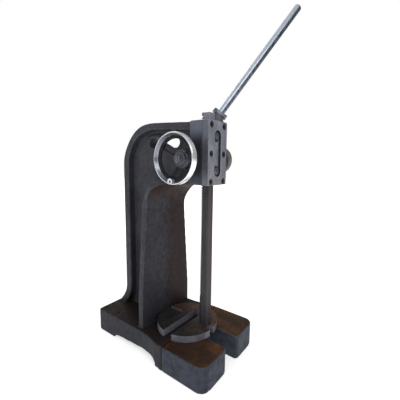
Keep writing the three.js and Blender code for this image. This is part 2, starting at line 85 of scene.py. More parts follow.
def prism(name, pts, axis, a, b):
    """A closed outline pushed along an axis. Outline is (y,z) for X, (x,z) for Y, (x,y) for Z."""
    def at(u, v, w):
        return {"X": P(w, u, v), "Y": P(u, w, v), "Z": P(u, v, w)}[axis]
    n = len(pts)
    verts = [at(u, v, a) for u, v in pts] + [at(u, v, b) for u, v in pts]
    faces = [list(range(n))[::-1], [n + i for i in range(n)]]
    faces += [[i, (i + 1) % n, n + (i + 1) % n, n + i] for i in range(n)]
    return mesh_object(name, verts, faces)


def lathe(name, profile, base, direction, seg=64, closed=False):
    """Profile of (radius, distance along direction) in mm, turned about the line from base."""
    d = Vector(direction).normalized()
    s = d.orthogonal().normalized()
    t = d.cross(s)
    base = Vector(base)
    verts, faces, rings = [], [], []
    for r, h in profile:
        c = base + d * (h / 1000.0)
        if r < 1e-6:
            rings.append([len(verts)])
            verts.append(c)
        else:
            rings.append(list(range(len(verts), len(verts) + seg)))
            for i in range(seg):
                a = 2 * math.pi * i / seg
                verts.append(c + (s * math.cos(a) + t * math.sin(a)) * (r / 1000.0))
    pairs = list(zip(rings, rings[1:]))
    if closed:
        pairs.append((rings[-1], rings[0]))
    for A, B in pairs:
        if len(A) == 1 and len(B) == 1:
            continue
        for i in range(seg):
            j = (i + 1) % seg
            if len(A) == 1:
                faces.append([A[0], B[j], B[i]])
            elif len(B) == 1:
                faces.append([A[i], A[j], B[0]])
            else:
                faces.append([A[i], A[j], B[j], B[i]])
    return mesh_object(name, verts, faces)


def apply_modifiers(o):
    bpy.context.view_layer.update()
    dg = bpy.context.evaluated_depsgraph_get()
    me = bpy.data.meshes.new_from_object(o.evaluated_get(dg))
    o.modifiers.clear()
    old = o.data
    o.data = me
    bpy.data.meshes.remove(old)
    return o


def boolean(a, b, op="DIFFERENCE"):
    m = a.modifiers.new("bool", "BOOLEAN")
    m.operation = op
    m.object = b
    m.solver = "EXACT"
    apply_modifiers(a)
    bpy.data.objects.remove(b, do_unlink=True)
    return a


def merge(name, objs):
    bm = bmesh.new()
    for o in objs:
        me = o.data.copy()
        me.transform(o.matrix_world)
        bm.from_mesh(me)
        bpy.data.meshes.remove(me)
    me = bpy.data.meshes.new(name)
    bm.to_mesh(me)
    bm.free()
    for o in objs:
        bpy.data.objects.remove(o, do_unlink=True)
    return link(name, me)


def cad_copy(node, name, dissolve=True):
    me = nodes[node].data.copy()
    me.materials.clear()
    bm = bmesh.new()
    bm.from_mesh(me)
    bmesh.ops.remove_doubles(bm, verts=bm.verts, dist=2e-6)
    if dissolve:
        bmesh.ops.dissolve_limit(bm, angle_limit=math.radians(0.8), verts=bm.verts, edges=bm.edges)
    bmesh.ops.recalc_face_normals(bm, faces=bm.faces)
    out = bpy.data.meshes.new(name)
    bm.to_mesh(out)
    bm.free()
    bpy.data.meshes.remove(me)
    return link(name, out)


def smooth(o, angle=32):
    me = o.data
    me.polygons.foreach_set("use_smooth", [True] * len(me.polygons))
    me.set_sharp_from_angle(angle=math.radians(angle))
    me.update()
    return o


def bevelled(o, width_mm=0.6, seg=2, angle=32):
    smooth(o, angle)
    m = o.modifiers.new("edge_rounding", "BEVEL")
    m.width = width_mm / 1000.0
    m.segments = seg
    m.limit_method = "ANGLE"
    m.angle_limit = math.radians(angle)
    m.use_clamp_overlap = False
    m.harden_normals = True
    m.miter_outer = "MITER_ARC"
    return o


def remeshed(o, voxel_mm, smooth_times, factor=0.5):
    m = o.modifiers.new("skin", "REMESH")
    m.mode = "VOXEL"
    m.voxel_size = voxel_mm / 1000.0
    m.use_smooth_shade = True
    if smooth_times:
        s = o.modifiers.new("fillets", "SMOOTH")
        s.factor = factor
        s.iterations = smooth_times
    apply_modifiers(o)
    o.data.polygons.foreach_set("use_smooth", [True] * len(o.data.polygons))
    return o


def coords(me):
    a = np.empty(len(me.vertices) * 3, np.float32)
    me.vertices.foreach_get("co", a)
    return a.reshape(-1, 3).astype(float)


def normals(me):
    a = np.empty(len(me.vertices) * 3, np.float32)
    me.vertices.foreach_get("normal", a)
    return a.reshape(-1, 3).astype(float)


def put(me, co):
    me.vertices.foreach_set("co", co.astype(np.float32).ravel())
    me.update()


def dress(o, mat, body, replaces=()):
    o.data.materials.clear()
    o.data.materials.append(mat)
    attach(o, body)
    if replaces:
        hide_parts(*replaces)
    return o


# ------------------------------------------------------------------ material helpers
def rgb(r, g, b):
    def f(c):
        c /= 255.0
        return c / 12.92 if c <= 0.04045 else ((c + 0.055) / 1.055) ** 2.4
    return (f(r), f(g), f(b), 1.0)


class Mat:
    def __init__(self, name, metallic=0.0, specular=0.5, coat=0.0):
        self.m = bpy.data.materials.new(name)
        self.m.use_nodes = True
        self.t = self.m.node_tree
        self.t.nodes.clear()
        self.out = self.t.nodes.new("ShaderNodeOutputMaterial")
        self.b = self.t.nodes.new("ShaderNodeBsdfPrincipled")
        self.t.links.new(self.b.outputs[0], self.out.inputs[0])
        self.b.inputs["Metallic"].default_value = metallic
        self.b.inputs["Specular IOR Level"].default_value = specular
        self.b.inputs["Coat Weight"].default_value = coat
        self.co = self.t.nodes.new("ShaderNodeTexCoord")
        self.obj = self.co.outputs["Object"]
        self.nor = self.co.outputs["Normal"]

    def node(self, kind, **inputs):
        n = self.t.nodes.new(kind)
        for k, v in inputs.items():
            self.feed(n.inputs[int(k[1:])] if k[0] == "_" else n.inputs[k], v)
        return n

    def feed(self, socket, v):
        if isinstance(v, bpy.types.NodeSocket):
            self.t.links.new(v, socket)
        else:
            socket.default_value = v

    def scaled(self, s, vec=None, rot=(0, 0, 0), loc=(0, 0, 0)):
        n = self.t.nodes.new("ShaderNodeMapping")
        self.feed(n.inputs["Vector"], vec or self.obj)
        n.inputs["Scale"].default_value = s if hasattr(s, "__len__") else (s, s, s)
        n.inputs["Rotation"].default_value = rot
        n.inputs["Location"].default_value = loc
        return n.outputs[0]

    def noise(self, scale, detail=4.0, rough=0.55, dist=0.0, vec=None):
        n = self.t.nodes.new("ShaderNodeTexNoise")
        self.feed(n.inputs["Vector"], vec or self.obj)
        n.inputs["Scale"].default_value = scale
        n.inputs["Detail"].default_value = detail
        n.inputs["Roughness"].default_value = rough
        n.inputs["Distortion"].default_value = dist
        return n.outputs["Fac"]

    def voronoi(self, scale, feature="F1", vec=None, rand=1.0):
        n = self.t.nodes.new("ShaderNodeTexVoronoi")
        n.feature = feature
        self.feed(n.inputs["Vector"], vec or self.obj)
        n.inputs["Scale"].default_value = scale
        n.inputs["Randomness"].default_value = rand
        return n.outputs["Distance"]

    def ramp(self, fac, stops, mode="LINEAR"):
        n = self.t.nodes.new("ShaderNodeValToRGB")
        n.color_ramp.interpolation = mode
        self.feed(n.inputs[0], fac)
        e = n.color_ramp.elements
        while len(e) < len(stops):
            e.new(0.5)
        for k, (p, c) in enumerate(stops):
            e[k].position = p
            e[k].color = c if hasattr(c, "__len__") else (c, c, c, 1)
        return n.outputs[0]

    def span(self, v, a, b, lo=0.0, hi=1.0, smoothstep=True):
        n = self.t.nodes.new("ShaderNodeMapRange")
        n.interpolation_type = "SMOOTHSTEP" if smoothstep else "LINEAR"
        self.feed(n.inputs["Value"], v)
        n.inputs["From Min"].default_value = a
        n.inputs["From Max"].default_value = b
        n.inputs["To Min"].default_value = lo
        n.inputs["To Max"].default_value = hi
        return n.outputs[0]

    def calc(self, op, a, b=0.0, clamp=False):
        n = self.t.nodes.new("ShaderNodeMath")
        n.operation = op
        n.use_clamp = clamp
        self.feed(n.inputs[0], a)
        self.feed(n.inputs[1], b)
        return n.outputs[0]

    def mix(self, fac, a, b, mode="MIX"):
        n = self.t.nodes.new("ShaderNodeMix")
        n.data_type = "RGBA"
        n.blend_type = mode
        n.clamp_factor = True
        self.feed(n.inputs[0], fac)
        self.feed(n.inputs[6], a)
        self.feed(n.inputs[7], b)
        return n.outputs[2]

    def split(self, vec):
        n = self.t.nodes.new("ShaderNodeSeparateXYZ")
        self.feed(n.inputs[0], vec)
        return n.outputs[0], n.outputs[1], n.outputs[2]

    def edges(self, lo, hi):
        g = self.t.nodes.new("ShaderNodeNewGeometry")
        return self.span(g.outputs["Pointiness"], lo, hi)

    # painted shade: an ambient-occlusion mask that darkens hollows and corners
    def crevice_shade(self, dist_mm, lo=0.25, hi=0.85):
        n = self.t.nodes.new("ShaderNodeAmbientOcclusion")
        n.samples = 8
        n.inputs["Distance"].default_value = dist_mm / 1000.0
        return self.span(n.outputs["AO"], hi, lo)

    def bump(self, height, strength, dist_mm, under=None):
        n = self.t.nodes.new("ShaderNodeBump")
        n.inputs["Strength"].default_value = strength
        n.inputs["Distance"].default_value = dist_mm / 1000.0
        self.feed(n.inputs["Height"], height)
        if under is not None:
            self.feed(n.inputs["Normal"], under)
        return n.outputs[0]

    def done(self, color, rough, normal=None, metallic=None):
        self.feed(self.b.inputs["Base Color"], color)
        self.feed(self.b.inputs["Roughness"], rough)
        if normal is not None:
            self.feed(self.b.inputs["Normal"], normal)
        if metallic is not None:
            self.feed(self.b.inputs["Metallic"], metallic)
        return self.m


# ------------------------------------------------------------------ materials
def casting_paint():
    m = Mat("casting_paint", metallic=0.0, specular=0.16)
    x, y, z = m.split(m.obj)
    nx, ny, nz = m.split(m.nor)
    big, mid, fine = m.noise(5.5, 5, 0.6), m.noise(38, 6, 0.62), m.noise(330, 4, 0.6)
    grit = m.noise(900, 3, 0.65)
    # charcoal paint with cloudy wear
    col = m.mix(m.span(big, 0.36, 0.66), rgb(47, 48, 54), rgb(62, 63, 69))
    col = m.mix(m.calc("MULTIPLY", m.span(mid, 0.45, 0.72), 0.6), col, rgb(42, 41, 45))
    # painted shade on the front faces, and a painted brown reflection on their part towards the operator's right
    front = m.span(m.calc("MULTIPLY", ny, -1.0), 0.5, 0.9)
    brown_reflection = m.calc("MULTIPLY", m.span(m.calc("ADD", x, m.calc("MULTIPLY", m.calc("SUBTRACT", mid, 0.5), 0.10)), -0.045, 0.05), front)
    col = m.mix(m.calc("MULTIPLY", front, 0.45), col, rgb(38, 38, 46))
    col = m.mix(m.calc("MULTIPLY", brown_reflection, 0.95), col, rgb(40, 24, 25))
    col = m.mix(m.calc("MULTIPLY", m.calc("MULTIPLY", front, m.span(m.noise(60, 7, 0.72, 1.2), 0.56, 0.7)), m.span(z, 0.25, 0.4, 0.0, 0.35)), col, rgb(88, 84, 92))
    # painted shade, in dark brown, on the downward-facing faces of the throat
    throat_shade = m.calc("MULTIPLY", m.calc("MULTIPLY", m.span(m.calc("MULTIPLY", nz, -1.0), 0.12, 0.75), m.span(z, 0.60, 0.68)), m.span(y, 0.170, 0.145))
    throat_shade = m.calc("MULTIPLY", throat_shade, m.span(z, 0.80, 0.785))
    col = m.mix(m.calc("MULTIPLY", throat_shade, 0.95), col, rgb(42, 24, 16))
    spots = m.calc("MULTIPLY", m.span(m.noise(21, 7, 0.7, 0.6), 0.62, 0.74), 0.3)
    col = m.mix(spots, col, rgb(58, 42, 36))
    # bluish sides of the front block, charcoal further back
    low = m.calc("MULTIPLY", m.span(z, 0.1085, 0.1045), m.span(m.calc("ABSOLUTE", nz), 0.7, 0.4))
    sides = m.mix(m.span(mid, 0.4, 0.68), rgb(54, 58, 71), rgb(42, 45, 55))
    col = m.mix(m.calc("MULTIPLY", low, 0.9), col, rgb(35, 36, 42))
    col = m.mix(m.calc("MULTIPLY", low, m.span(y, -0.001, -0.006)), col, sides)
    # bare, rusty top of the base, with painted shadow darkening the middle and the back
    top = m.calc("MULTIPLY", m.span(nz, 0.72, 0.93), m.span(z, 0.1125, 0.1092))
    rust = m.ramp(m.noise(15, 8, 0.66, 0.8), [(0.28, rgb(50, 36, 27)), (0.47, rgb(84, 53, 31)), (0.6, rgb(112, 72, 42)), (0.75, rgb(66, 44, 30))])
    rust = m.mix(m.span(m.noise(6, 4, 0.6), 0.40, 0.66), rust, rgb(52, 39, 30))
    rust = m.mix(m.calc("MULTIPLY", m.span(m.noise(120, 5, 0.7), 0.55, 0.75), 0.6), rust, rgb(38, 31, 29))
    top_shadow = m.calc("MULTIPLY", m.span(y, -0.01, 0.03), m.span(y, 0.40, 0.33))
    rust = m.mix(m.calc("MULTIPLY", top_shadow, 0.96), rust, rgb(24, 25, 32))
    rust = m.mix(m.calc("MULTIPLY", m.span(y, 0.33, 0.40), 0.85), rust, rgb(32, 26, 22))
    rust = m.mix(m.calc("MULTIPLY", m.calc("MULTIPLY", m.span(x, 0.0, -0.06), m.span(y, -0.215, -0.09)), 0.75), rust, rgb(34, 27, 23))
    col = m.mix(top, col, rust)
    # lighter blue-grey head, with a painted highlight near the top and painted shadow at mid height
    head = m.calc("MULTIPLY", m.span(m.calc("ADD", y, m.calc("MULTIPLY", m.calc("SUBTRACT", mid, 0.5), 0.006)), -0.0325, -0.0368), m.span(z, 0.75, 0.766))
    hc = m.mix(m.span(m.noise(24, 6, 0.65), 0.38, 0.66), rgb(70, 73, 84), rgb(54, 56, 66))
    hc = m.mix(m.span(z, 0.93, 0.995), hc, rgb(90, 95, 106))
    head_mid_shadow = m.calc("MULTIPLY", m.calc("MULTIPLY", m.span(z, 0.985, 0.93), m.span(z, 0.765, 0.83)), m.span(big, 0.32, 0.55, 0.45, 0.95))
    hc = m.mix(head_mid_shadow, hc, rgb(25, 26, 32))
    hc = m.mix(m.calc("MULTIPLY", m.span(m.noise(70, 6, 0.7), 0.6, 0.78), 0.7), hc, rgb(50, 50, 57))
    col = m.mix(head, col, hc)
    # painted shade fills the joint groove round the front block
    groove_shade = m.calc("MULTIPLY", m.calc("MULTIPLY", m.span(y, -0.0100, -0.0088), m.span(y, -0.0026, -0.0038)), m.span(z, 0.1110, 0.1090))
    col = m.mix(m.calc("MULTIPLY", groove_shade, 0.92), col, rgb(13, 13, 17))
    # paint worn through to bright metal along the edges; painted shade in the corners and hollows
    e = m.calc("MULTIPLY", m.edges(0.515, 0.56), m.span(m.noise(55, 6, 0.7), 0.34, 0.6))
    col = m.mix(m.calc("MULTIPLY", e, 0.5), col, rgb(104, 106, 112))
    col = m.mix(m.calc("MULTIPLY", m.crevice_shade(26.0, 0.2, 0.8), 0.55), col, rgb(22, 21, 24))
    col = m.mix(m.calc("MULTIPLY", m.edges(0.487, 0.455), 0.65), col, rgb(24, 23, 25))
    rough = m.span(mid, 0.3, 0.75, 0.46, 0.64)
    rough = m.calc("ADD", rough, m.calc("MULTIPLY", top, 0.1), clamp=True)
    h = m.calc("ADD", m.calc("MULTIPLY", fine, 0.7), m.calc("MULTIPLY", grit, 0.3))
    n = m.bump(h, 0.3, 0.8)
    n = m.bump(m.noise(90, 4, 0.5), 0.3, 1.6, n)
    return m.done(col, rough, n, m.calc("MULTIPLY", e, 0.4))


def head_paint():
    m = Mat("head_paint", metallic=0.0, specular=0.35)
    x, y, z = m.split(m.obj)
    a, b, c = m.noise(16, 6, 0.65, 0.4), m.noise(75, 6, 0.7), m.noise(420, 4, 0.6)
    col = m.mix(m.span(a, 0.36, 0.66), rgb(122, 125, 137), rgb(100, 102, 113))
    # painted shade: darker towards the operator's right
    col = m.mix(m.span(x, 0.0, 0.06, 0.0, 0.6), col, rgb(86, 86, 94))
    col = m.mix(m.span(b, 0.56, 0.76), col, rgb(84, 81, 87))
    col = m.mix(m.calc("MULTIPLY", m.span(m.noise(9, 5, 0.6), 0.5, 0.68), 0.5), col, rgb(76, 74, 80))
    col = m.mix(m.calc("MULTIPLY", m.span(z, 0.86, 0.77), 0.55), col, rgb(112, 107, 108))
    scr = m.noise(1.0, 3, 0.5, 0, m.scaled((35, 400, 900), rot=(0, 0.5, 0)))
    col = m.mix(m.calc("MULTIPLY", m.span(scr, 0.66, 0.72), 0.5), col, rgb(150, 152, 158))
    e = m.calc("MULTIPLY", m.edges(0.52, 0.6), m.span(b, 0.35, 0.6))
    col = m.mix(m.calc("MULTIPLY", e, 0.6), col, rgb(160, 162, 168))
    # painted shade in the corners and the hollows
    col = m.mix(m.calc("MULTIPLY", m.edges(0.48, 0.42), 0.8), col, rgb(28, 28, 32))
    col = m.mix(m.calc("MULTIPLY", m.crevice_shade(9.0, 0.35, 0.92), 0.9), col, rgb(20, 20, 24))
    # painted shadow crescents round the adjusting nuts and painted shade along the right wall of the recess
    nx, ny, nz = m.split(m.nor)
    inside = m.span(y, -0.1285, -0.1276)
    for at in (0.962, 0.822):
        dz = m.calc("SUBTRACT", z, at)
        far = m.calc("SQRT", m.calc("ADD", m.calc("MULTIPLY", x, x), m.calc("MULTIPLY", dz, dz)))
        nut_shadow = m.calc("MULTIPLY", m.span(far, 0.0245, 0.0225), m.span(x, -0.016, 0.002, 0.55, 1.0))
        col = m.mix(m.calc("MULTIPLY", m.calc("MULTIPLY", nut_shadow, inside), 0.95), col, rgb(17, 17, 21))
    wall_shade = m.calc("MULTIPLY", m.calc("MULTIPLY", m.span(m.calc("MULTIPLY", nx, -1.0), 0.4, 0.8), inside), m.span(x, 0.010, 0.016))
    col = m.mix(m.calc("MULTIPLY", wall_shade, 0.9), col, rgb(24, 24, 29))
    # painted shade: the operator's-left side is as dark as the head next to it, darkest at mid height and along its
    # back edge
    flank = m.calc("MULTIPLY", m.span(m.calc("MULTIPLY", nx, -1.0), 0.5, 0.9), m.span(y, -0.1300, -0.1275))
    flank = m.calc("MULTIPLY", flank, m.span(x, -0.064, -0.0668))
    shade = m.mix(m.calc("MULTIPLY", m.span(z, 0.975, 0.915), m.span(z, 0.775, 0.835)), rgb(84, 88, 99), rgb(38, 39, 46))
    shade = m.mix(m.span(y, -0.1030, -0.1000), shade, rgb(24, 24, 28))
    col = m.mix(m.calc("MULTIPLY", flank, m.span(b, 0.3, 0.6, 0.95, 0.75)), col, shade)
    n = m.bump(m.calc("ADD", c, m.calc("MULTIPLY", b, 0.6)), 0.25, 0.6)
    return m.done(col, m.span(a, 0.3, 0.7, 0.36, 0.56), n, m.calc("MULTIPLY", e, 0.5))


def dark_steel(name, light, dark, tint, vertical=True, r0=0.3, r1=0.52, oil=0.6, wear=0.4):
    m = Mat(name, metallic=0.75, specular=0.5)
    x, y, z = m.split(m.obj)
    st = m.noise(1.0, 5, 0.6, 0, m.scaled((520, 520, 9) if vertical else (60, 60, 60)))
    a, b = m.noise(13, 6, 0.65, 0.5), m.noise(160, 5, 0.7)
    col = m.mix(m.span(a, 0.35, 0.65), light, dark)
    col = m.mix(m.calc("MULTIPLY", m.span(m.noise(7, 5, 0.6), 0.42, 0.62), oil), col, tint)
    col = m.mix(m.calc("MULTIPLY", m.span(st, 0.4, 0.7), 0.35), col, dark)
    col = m.mix(m.calc("MULTIPLY", m.span(b, 0.6, 0.78), 0.5), col, rgb(52, 36, 30))
    e = m.calc("MULTIPLY", m.edges(0.53, 0.62), wear)
    col = m.mix(e, col, rgb(150, 152, 156))
    n = m.bump(st, 0.12, 0.25)
    n = m.bump(b, 0.15, 0.3, n)
    return m.done(col, m.span(a, 0.3, 0.7, r0, r1), n)


def ram_steel():
    m = Mat("ram_steel", metallic=0.35, specular=0.3)
    x, y, z = m.split(m.obj)
    nx, ny, nz = m.split(m.nor)
    st = m.noise(1.0, 6, 0.6, 0, m.scaled((700, 700, 6)))
    st2 = m.noise(1.0, 4, 0.6, 0, m.scaled((180, 180, 2.2)))
    a, b = m.noise(9, 6, 0.65, 0.5), m.noise(180, 5, 0.7)
    col = m.mix(m.span(a, 0.35, 0.65), rgb(62, 62, 65), rgb(47, 46, 49))
    col = m.mix(m.calc("MULTIPLY", m.span(st2, 0.42, 0.62), 0.5), col, rgb(38, 36, 39))
    # painted brown reflection on the front faces
    col = m.mix(m.calc("MULTIPLY", m.span(m.calc("MULTIPLY", ny, -1.0), 0.5, 0.9), 0.55), col, rgb(60, 46, 48))
    # cleaner bright end above the head, greasy teeth
    col = m.mix(m.span(z, 1.012, 1.03), col, rgb(128, 128, 141))
    grease = m.calc("MULTIPLY", m.span(ny, 0.1, 0.5), m.span(m.noise(30, 5, 0.6), 0.3, 0.6))
    col = m.mix(m.calc("MULTIPLY", grease, 0.8), col, rgb(20, 18, 17))
    # oil along the rack: the teeth look dark from the side as well
    col = m.mix(m.calc("MULTIPLY", m.span(y, -0.0705, -0.0675), 0.8), col, rgb(22, 21, 22))
    col = m.mix(m.calc("MULTIPLY", m.span(b, 0.6, 0.78), 0.4), col, rgb(44, 34, 31))
    n = m.bump(st, 0.12, 0.25)
    n = m.bump(b, 0.12, 0.3, n)
    return m.done(col, m.span(st2, 0.3, 0.7, 0.36, 0.54), n)


def polished(name="polished_steel", base=(236, 237, 241), r0=0.2, r1=0.34):
    m = Mat(name, metallic=0.85, specular=0.5)
    a, b = m.noise(14, 5, 0.6), m.noise(260, 4, 0.65)
    tiny = m.noise(1.0, 4, 0.6, 0, m.scaled((900, 60, 60)))
    col = m.mix(m.span(a, 0.35, 0.7), rgb(*base), rgb(*[int(c * 0.86) for c in base]))
    # the inner cone of the rim is duller than the lip and the outside
    x, y, z = m.split(m.obj)
    nx, ny, nz = m.split(m.nor)
    py, pz = m.calc("SUBTRACT", y, -0.03843), m.calc("SUBTRACT", z, 0.8697)
    away = m.calc("SQRT", m.calc("ADD", m.calc("MULTIPLY", py, py), m.calc("MULTIPLY", pz, pz)))
    inward = m.calc("DIVIDE", m.calc("ADD", m.calc("MULTIPLY", ny, py), m.calc("MULTIPLY", nz, pz)), away)
    cone = m.calc("MULTIPLY", m.span(inward, -0.35, -0.6), m.span(x, -0.1575, -0.1590))
    col = m.mix(m.calc("MULTIPLY", cone, 0.9), col, rgb(112, 118, 131))
    col = m.mix(m.calc("MULTIPLY", m.span(m.noise(45, 6, 0.7), 0.62, 0.75), 0.5), col, rgb(120, 112, 108))
    n = m.bump(tiny, 0.06, 0.15)
    n = m.bump(b, 0.05, 0.2, n)
    return m.done(col, m.span(b, 0.3, 0.7, r0, r1), n)


def zinc(name="zinc_steel", base=(214, 219, 224), axis_scale=None):
    m = Mat(name, metallic=1.0, specular=0.5)
    v = m.scaled((120, 120, 120)) if axis_scale is None else axis_scale
    a, b = m.noise(10, 6, 0.65, 0.3), m.noise(300, 4, 0.65)
    col = m.mix(m.span(a, 0.34, 0.68), rgb(*base), rgb(*[int(c * 0.88) for c in base]))
    col = m.mix(m.calc("MULTIPLY", m.span(m.noise(60, 6, 0.7), 0.63, 0.76), 0.5), col, rgb(128, 120, 114))
    n = m.bump(b, 0.08, 0.2)
    n = m.bump(a, 0.1, 0.5, n)
    return m.done(col, m.span(m.noise(90, 5, 0.7), 0.3, 0.75, 0.2, 0.38), n)


def lever_finish():
    # plated bar, drawn lengthways: faint streaks and a bluish tone
    m = Mat("lever_zinc", metallic=0.75, specular=0.5)
    along = m.scaled((150, 150, 5), rot=(math.radians(25.8), math.radians(-26.5), 0))
    st = m.noise(1.0, 4, 0.55, 0, along)
    a, b = m.noise(8, 4, 0.6), m.noise(300, 4, 0.65)
    # painted reflection: bright on the side turned up, with a dark band painted on the side turned down
    nx, ny, nz = m.split(m.nor)
    under = m.calc("ADD", m.calc("ADD", m.calc("MULTIPLY", nx, 0.400), m.calc("MULTIPLY", ny, -0.719)), m.calc("MULTIPLY", nz, -0.568))
    painted_reflection = m.ramp(m.span(under, -1.0, 1.0, smoothstep=False), [(0.0, rgb(226, 233, 240)), (0.32, rgb(206, 214, 226)), (0.52, rgb(160, 169, 184)),
                  (0.66, rgb(92, 102, 116)), (0.8, rgb(46, 53, 63)), (1.0, rgb(70, 74, 82))])
    col = m.mix(m.calc("MULTIPLY", m.span(st, 0.38, 0.64), 0.4), painted_reflection, rgb(150, 156, 168))
    col = m.mix(m.calc("MULTIPLY", m.span(a, 0.5, 0.72), 0.4), col, rgb(140, 144, 152))
    col = m.mix(m.calc("MULTIPLY", m.span(m.noise(70, 6, 0.7), 0.63, 0.76), 0.4), col, rgb(108, 104, 102))
    n = m.bump(b, 0.05, 0.1)
    return m.done(col, m.span(st, 0.3, 0.7, 0.24, 0.36), n)


def black_parts():
    m = Mat("black_oxide", metallic=0.6, specular=0.5)
    a, b = m.noise(60, 6, 0.65), m.noise(500, 4, 0.65)
    col = m.mix(m.span(a, 0.35, 0.68), rgb(24, 24, 28), rgb(40, 38, 40))
    col = m.mix(m.calc("MULTIPLY", m.span(m.noise(140, 5, 0.7), 0.6, 0.75), 0.5), col, rgb(76, 56, 46))
    col = m.mix(m.calc("MULTIPLY", m.edges(0.53, 0.6), 0.45), col, rgb(120, 120, 126))
    return m.done(col, m.span(a, 0.3, 0.7, 0.38, 0.6), m.bump(b, 0.12, 0.2))


def wheel_paint():
    m = Mat("wheel_black_paint", metallic=0.0, specular=0.2)
    x, y, z = m.split(m.obj)
    py, pz = m.calc("SUBTRACT", y, -0.03843), m.calc("SUBTRACT", z, 0.8697)
    away = m.calc("SQRT", m.calc("ADD", m.calc("MULTIPLY", py, py), m.calc("MULTIPLY", pz, pz)))
    a, b, c = m.noise(24, 6, 0.65), m.noise(130, 5, 0.7), m.noise(520, 4, 0.6)
    col = m.mix(m.span(a, 0.36, 0.66), rgb(34, 34, 40), rgb(48, 48, 55))
    col = m.mix(m.span(away, 0.040, 0.034), col, rgb(78, 79, 88))
    col = m.mix(m.span(away, 0.068, 0.075), col, rgb(22, 22, 29))
    col = m.mix(m.span(b, 0.57, 0.76), col, rgb(32, 31, 36))
    e = m.calc("MULTIPLY", m.edges(0.52, 0.58), m.span(a, 0.34, 0.6))
    col = m.mix(m.calc("MULTIPLY", e, 0.6), col, rgb(92, 93, 102))
    # painted shade in the corners and the hollows
    col = m.mix(m.calc("MULTIPLY", m.edges(0.485, 0.45), 0.75), col, rgb(16, 15, 18))
    col = m.mix(m.calc("MULTIPLY", m.crevice_shade(14.0, 0.3, 0.9), 0.8), col, rgb(12, 12, 15))
    n = m.bump(m.calc("ADD", b, m.calc("MULTIPLY", c, 0.5)), 0.3, 0.7)
    return m.done(col, m.span(a, 0.3, 0.7, 0.34, 0.52), n, m.calc("MULTIPLY", e, 0.5))


def housing_paint():
    m = Mat("housing_paint", metallic=0.0, specular=0.3)
    a, b, c = m.noise(18, 6, 0.65), m.noise(90, 6, 0.7), m.noise(520, 4, 0.6)
    col = m.mix(m.span(a, 0.36, 0.66), rgb(96, 94, 91), rgb(72, 70, 69))
    col = m.mix(m.span(b, 0.56, 0.74), col, rgb(66, 60, 58))
    e = m.calc("MULTIPLY", m.edges(0.52, 0.58), m.span(b, 0.34, 0.6))
    col = m.mix(m.calc("MULTIPLY", e, 0.6), col, rgb(160, 158, 156))
    # painted shade in the corners and the hollows
    col = m.mix(m.calc("MULTIPLY", m.edges(0.485, 0.45), 0.7), col, rgb(30, 28, 28))
    col = m.mix(m.calc("MULTIPLY", m.crevice_shade(14.0, 0.3, 0.9), 0.8), col, rgb(18, 17, 18))
    n = m.bump(m.calc("ADD", b, m.calc("MULTIPLY", c, 0.6)), 0.35, 0.8)
    return m.done(col, m.span(a, 0.3, 0.7, 0.42, 0.6), n, m.calc("MULTIPLY", e, 0.4))


def plate_steel():
    m = Mat("plate_steel", metallic=0.1, specular=0.2)
    x, y, z = m.split(m.obj)
    nx, ny, nz = m.split(m.nor)
    a, b = m.noise(19, 7, 0.66, 0.7), m.noise(150, 5, 0.7)
    # machined rim: pale grey with a lavender cast
    side = m.mix(m.span(a, 0.36, 0.66), rgb(112, 111, 121), rgb(92, 91, 101))
    side = m.mix(m.span(b, 0.56, 0.76), side, rgb(76, 70, 70))
    # top: dark oily steel behind, rust where the work rests in front
    dark = m.mix(m.span(m.noise(34, 6, 0.68), 0.4, 0.66), rgb(26, 26, 27), rgb(38, 37, 37))
    rust = m.ramp(m.noise(26, 8, 0.68, 0.9), [(0.3, rgb(50, 36, 28)), (0.5, rgb(74, 50, 36)), (0.62, rgb(86, 60, 43)), (0.78, rgb(54, 40, 32))])
    where = m.calc("ADD", m.calc("ADD", m.calc("MULTIPLY", x, 6.0), m.calc("MULTIPLY", y, -2.2)), m.calc("MULTIPLY", m.calc("SUBTRACT", a, 0.5), 2.2))
    topc = m.mix(m.span(where, -0.30, 0.25), dark, rust)
    topc = m.mix(m.span(m.noise(210, 4, 0.7), 0.58, 0.76), topc, rgb(34, 28, 27))
    rings = m.t.nodes.new("ShaderNodeTexWave")
    rings.wave_type = "RINGS"
    rings.rings_direction = "Z"
    m.feed(rings.inputs["Vector"], m.scaled(1.0, loc=(0.011, -0.0135, 0)))
    rings.inputs["Scale"].default_value = 190.0
    rings.inputs["Distortion"].default_value = 0.6
    rings.inputs["Detail"].default_value = 2.0
    col = m.mix(m.span(nz, 0.6, 0.9), side, topc)
    e = m.calc("MULTIPLY", m.edges(0.52, 0.6), m.span(m.noise(60, 5, 0.7), 0.35, 0.6))
    col = m.mix(m.calc("MULTIPLY", e, 0.55), col, rgb(160, 158, 162))
    n = m.bump(rings.outputs["Fac"], 0.08, 0.12)
    n = m.bump(b, 0.25, 0.4, n)
    return m.done(col, m.span(a, 0.3, 0.7, 0.4, 0.62), n)


def bronze():
    m = Mat("bronze", metallic=0.9, specular=0.5)
    a, b = m.noise(40, 6, 0.65), m.noise(300, 4, 0.65)
    col = m.mix(m.span(a, 0.35, 0.68), rgb(92, 74, 48), rgb(66, 54, 38))
    col = m.mix(m.span(b, 0.6, 0.78), col, rgb(62, 48, 36))
    return m.done(col, m.span(a, 0.3, 0.7, 0.3, 0.5), m.bump(b, 0.1, 0.2))


